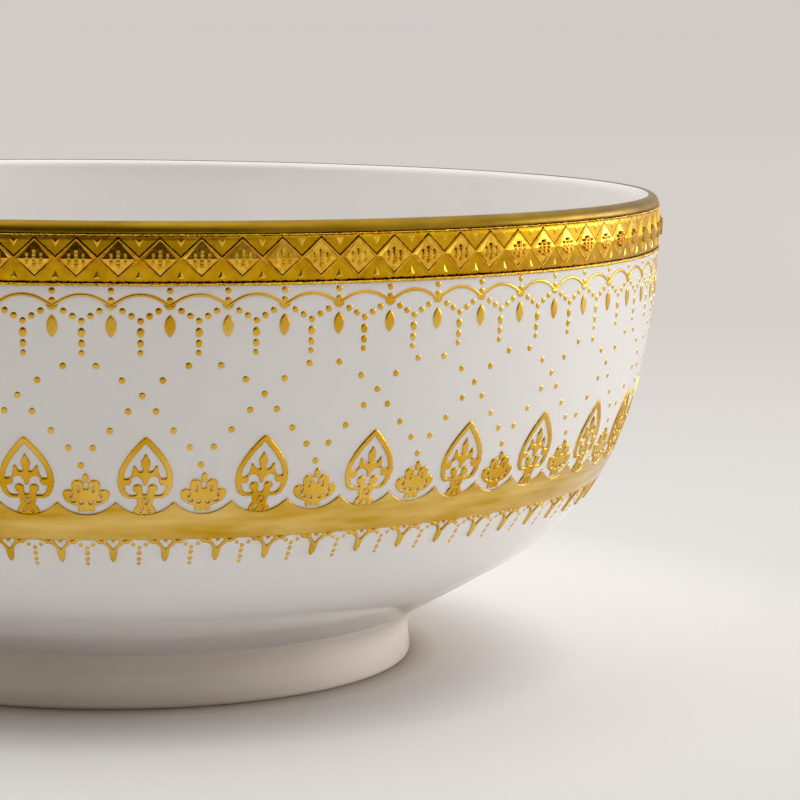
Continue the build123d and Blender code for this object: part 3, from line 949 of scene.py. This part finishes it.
def pendant_shape(x, z):
    """Spandrel that narrows into a drop, with a pearl in a pierced shield and two slanted slots."""
    half = FRINGE_PITCH / 2
    outline = mirrored(
        [(0, 41.9), (half, 41.9), (half, 41.25), (3.7, 41.2), (3.2, 40.9), (2.85, 40.45), (1.9, 40.4)]
        + bezier((1.9, 40.4), (1.3, 40.1), (0.85, 39.5), (0.7, 38.9)) + [(0.7, 38.3), (0.58, 37.4)]
        + bezier((0.58, 37.4), (0.42, 36.9), (0.2, 36.66), (0, 36.66))
    )
    shield = polygon(x, z, mirrored([(0, 41.6), (1.0, 41.6), (1.15, 40.75), (0, 39.25)]))
    pearl = disc(x, z, 0, 40.95, 0.4)
    slot = both(lambda x, z: oval(x, z, 2.3, 41.42, 0.5, 0.17, 20), x, z)
    return np.maximum(np.minimum.reduce([polygon(x, z, outline), -shield, -slot]), pearl)


def fringe_beads():
    """String of beads that hangs from a short V."""
    spots = [
        (-1.13, 40.2, 0.4), (1.13, 40.2, 0.4), (0, 39.55, 0.4),
        (0, 38.45, 0.47), (0, 37.2, 0.45), (0, 36.2, 0.38),
    ]
    return joined(*[moved(bead(size), across, height) for across, height, size in spots])


def pendant():
    """Closed relief of one pendant."""
    reach = FRINGE_PITCH / 2 + 0.2
    return relief(pendant_shape, low=(-reach, 36.4), high=(reach, 42.1), cell=0.19, tall=0.3, shoulder=0.2)


make_piece("gold_belt", *belt(), burnished, "scalloped_belt", "burnished_gold")
border("fringe_pendants", pendant(), turns_of(FRINGES, FRINGE_TURN, 0.5), raised)
border("fringe_beads", fringe_beads(), turns_of(FRINGES, FRINGE_TURN), raised)

# ---------------------------------------------------------------- floor and light


def floor():
    """Plain pale floor, nearly white round the bowl and warmer further off, with a painted contact shadow
    under and just round the foot ring.
    """
    reach, corners = 30.0, 96
    painted_contact_shadow, foot, near = (0.30, 0.25, 0.21), (0.66, 0.62, 0.58), (0.88, 0.88, 0.89)
    around, far = (0.66, 0.655, 0.65), (0.55, 0.525, 0.505)
    # the first two stops are painted shadow: dark under the foot ring, fading out just beyond it
    stops = [(0.0634, painted_contact_shadow), (0.068, foot), (0.10, near), (0.19, around), (0.75, far)]
    shader = Shader("floor")
    inputs = shader.surface.inputs
    distance = shader.node("ShaderNodeVectorMath", operation="LENGTH")
    shader.link(shader.place, distance.inputs[0])
    shader.link(shader.ramp(distance.outputs["Value"], stops), inputs["Base Color"])
    inputs["Roughness"].default_value = 0.6
    inputs["Specular IOR Level"].default_value = 0.2
    angles = [k * math.tau / corners for k in range(corners)]
    ring = [(reach * math.cos(a), reach * math.sin(a), 0) for a in angles]
    mesh = bpy.data.meshes.new("floor")
    mesh.from_pydata(ring, [], [tuple(range(corners))])
    mesh.materials.append(shader.material)
    disc_object = bpy.data.objects.new("floor", mesh)
    bpy.context.scene.collection.objects.link(disc_object)


def window(place, aim, width, height, power, colour):
    """Rectangular soft light."""
    light = bpy.data.lights.new("window", "AREA")
    light.shape = "RECTANGLE"
    light.size, light.size_y = width, height
    light.energy = power
    light.color = colour
    lamp = bpy.data.objects.new("window", light)
    lamp.location = place
    lamp.rotation_euler = (Vector(aim) - Vector(place)).to_track_quat("-Z", "Y").to_euler()
    bpy.context.scene.collection.objects.link(lamp)


def surroundings():
    """Soft bright room with a dark side behind the viewer."""
    horizon, low_wall, high_wall = (0.63, 0.595, 0.565), (0.68, 0.65, 0.62), (0.78, 0.75, 0.73)
    ceiling = (1.85, 1.81, 1.76)
    untouched, dim, darkest = (1, 1, 1), (0.10, 0.08, 0.06), (0.04, 0.03, 0.02)
    dark_side = Vector((-0.2, -0.92, 0.34)).normalized()
    world = bpy.data.worlds.new("room")
    bpy.context.scene.world = world
    world.use_nodes = True
    tree = world.node_tree
    direction = tree.nodes.new("ShaderNodeTexCoord").outputs["Generated"]
    split = tree.nodes.new("ShaderNodeSeparateXYZ")
    tree.links.new(direction, split.inputs["Vector"])
    room = colour_ramp(
        tree, split.outputs["Z"], [(0.0, horizon), (0.12, low_wall), (0.4, high_wall), (1.0, ceiling)]
    )
    toward = tree.nodes.new("ShaderNodeVectorMath")
    toward.operation = "DOT_PRODUCT"
    toward.inputs[1].default_value = dark_side
    tree.links.new(direction, toward.inputs[0])
    shade = colour_ramp(tree, toward.outputs["Value"], [(0.60, untouched), (0.87, dim), (1.0, darkest)])
    factor, first, second, result = colour_mix(tree, "MULTIPLY")
    factor.default_value = 1.0
    tree.links.new(room, first)
    tree.links.new(shade, second)
    tree.links.new(result, tree.nodes["Background"].inputs["Color"])


floor()
surroundings()
window(place=(2.6, 0.8, 0.5), aim=(0, 0, 0.05), width=1.6, height=0.8, power=24, colour=(1.0, 0.98, 0.96))

# ---------------------------------------------------------------- camera

LENS_MM, SENSOR_MM = 136.14, 36.0
CAMERA_PLACE = (0, -0.6509, 0.1367)
YAW, PITCH, ROLL = 0.0934, 0.1263, 0.012     # to the right, down and anticlockwise, in radians

camera = bpy.data.objects.new("camera", bpy.data.cameras.new("camera"))
bpy.context.scene.collection.objects.link(camera)
camera.data.lens = LENS_MM
camera.data.sensor_width = SENSOR_MM
aimed = Matrix.Rotation(-YAW, 4, "Z") @ Matrix.Rotation(math.pi / 2 - PITCH, 4, "X")
camera.matrix_world = Matrix.Translation(CAMERA_PLACE) @ aimed @ Matrix.Rotation(ROLL, 4, "Z")
bpy.context.scene.camera = camera
bpy.context.scene.view_settings.view_transform = "Standard"
